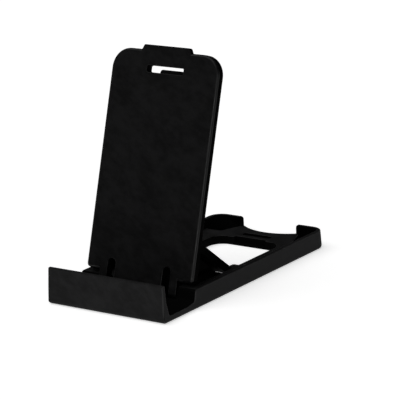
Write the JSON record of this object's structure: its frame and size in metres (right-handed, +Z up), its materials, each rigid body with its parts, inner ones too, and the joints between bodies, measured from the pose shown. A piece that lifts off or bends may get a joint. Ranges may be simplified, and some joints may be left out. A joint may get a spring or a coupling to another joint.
{
  "type": "folding phone stand",
  "caption": "Pocket phone stand with a lipped base tray, a leaning back plate and a forked prop leg that fold flat into each other.",
  "frame": {"origin": "centre of the open stand's footprint, on the table", "axes": "+Z up, +Y from the lip towards the rear of the tray, +X to the right of someone who faces the phone"},
  "size_m": [0.0548, 0.1178, 0.0948],
  "materials": {
    "tray_plastic": "fine spark-eroded texture, near black",
    "plate_plastic": "fine spark-eroded texture, near black, smoother on the phone face",
    "prop_plastic": "fine spark-eroded texture, near black"
  },
  "bodies": {
    "tray": {"base_tray": "tray_plastic"},
    "plate": {"back_plate": "plate_plastic"},
    "prop": {"prop_leg": "prop_plastic"}
  },
  "joints": [
    {"name": "plate_fold", "type": "hinge", "parent": "tray", "child": "plate", "pos_m": [0, -0.0354, 0.0046], "axis": [1, 0, 0], "range_deg": [-73.5, 0]},
    {"name": "prop_swing", "type": "hinge", "parent": "plate", "child": "prop", "pos_m": [0, -0.02795, 0.02747], "axis": [1, 0, 0], "range_deg": [0, 110.2]}
  ],
  "couplings": [
    {"joint": "prop_swing", "follows": "plate_fold", "ratio": -1.498}
  ]
}
